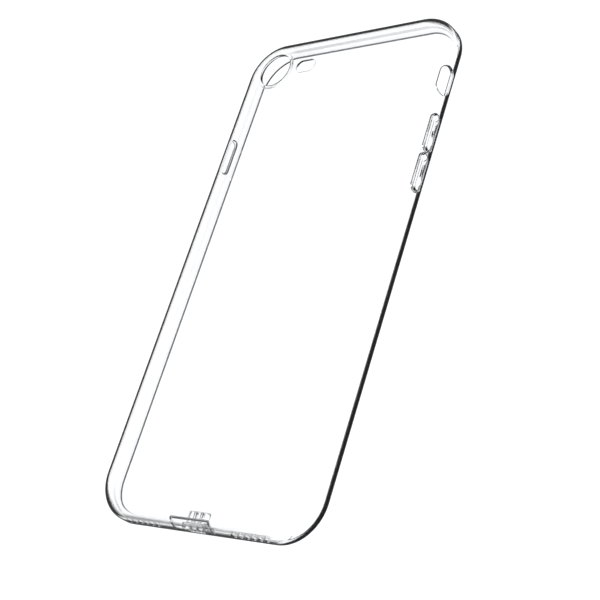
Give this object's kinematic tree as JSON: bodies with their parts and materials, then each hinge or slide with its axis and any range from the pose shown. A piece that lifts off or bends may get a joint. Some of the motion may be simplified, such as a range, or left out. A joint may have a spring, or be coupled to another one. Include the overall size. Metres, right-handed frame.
{
  "type": "flexible phone case",
  "caption": "Clear flexible back case for a slim phone, with camera and flash openings, press pads, switch cut-out, sound holes and a hinged dust flap.",
  "frame": {"origin": "middle of the plane that the front lip rests on, with the case lying face down", "axes": "+Z out of the back of the case, +Y to the camera end, +X to the side with the volume pads (right, seen from the back)"},
  "size_m": [0.0702, 0.1404, 0.0076],
  "materials": {
    "clear_shell": "water-clear flexible polyurethane, glossy",
    "clear_web": "water-clear flexible polyurethane, thin web, glossy",
    "clear_pad": "water-clear flexible polyurethane pad, glossy",
    "clear_flap": "water-clear flexible polyurethane flap and plug, glossy"
  },
  "bodies": {
    "case": {"back_panel": "clear_shell", "camera_guard_ring": "clear_shell", "front_lip": "clear_shell", "volume_side_wall": "clear_shell", "camera_end_wall": "clear_shell", "button_side_wall": "clear_shell", "port_end_wall": "clear_shell", "corner_top_right": "clear_shell", "corner_top_left": "clear_shell", "corner_bottom_left": "clear_shell", "corner_bottom_right": "clear_shell", "volume_up_web": "clear_web", "volume_down_web": "clear_web", "side_button_web": "clear_web", "flap_hinge_web": "clear_web"},
    "volume_up": {"volume_up_pad": "clear_pad"},
    "volume_down": {"volume_down_pad": "clear_pad"},
    "side_button": {"side_button_pad": "clear_pad"},
    "flap": {"dust_flap": "clear_flap", "dust_plug": "clear_flap"}
  },
  "joints": [
    {"name": "volume_up_press", "type": "slide", "parent": "case", "child": "volume_up", "axis": [-1, 0, 0], "range_m": [0, 0.0004], "stiffness_N_per_m": 500},
    {"name": "volume_down_press", "type": "slide", "parent": "case", "child": "volume_down", "axis": [-1, 0, 0], "range_m": [0, 0.0004], "stiffness_N_per_m": 500},
    {"name": "side_button_press", "type": "slide", "parent": "case", "child": "side_button", "axis": [1, 0, 0], "range_m": [0, 0.0004], "stiffness_N_per_m": 500},
    {"name": "flap_hinge", "type": "hinge", "parent": "case", "child": "flap", "pos_m": [0, -0.06869, 0.00624], "axis": [-1, 0, 0], "range_deg": [0, 110], "stiffness_Nm_per_rad": 0.0015}
  ]
}
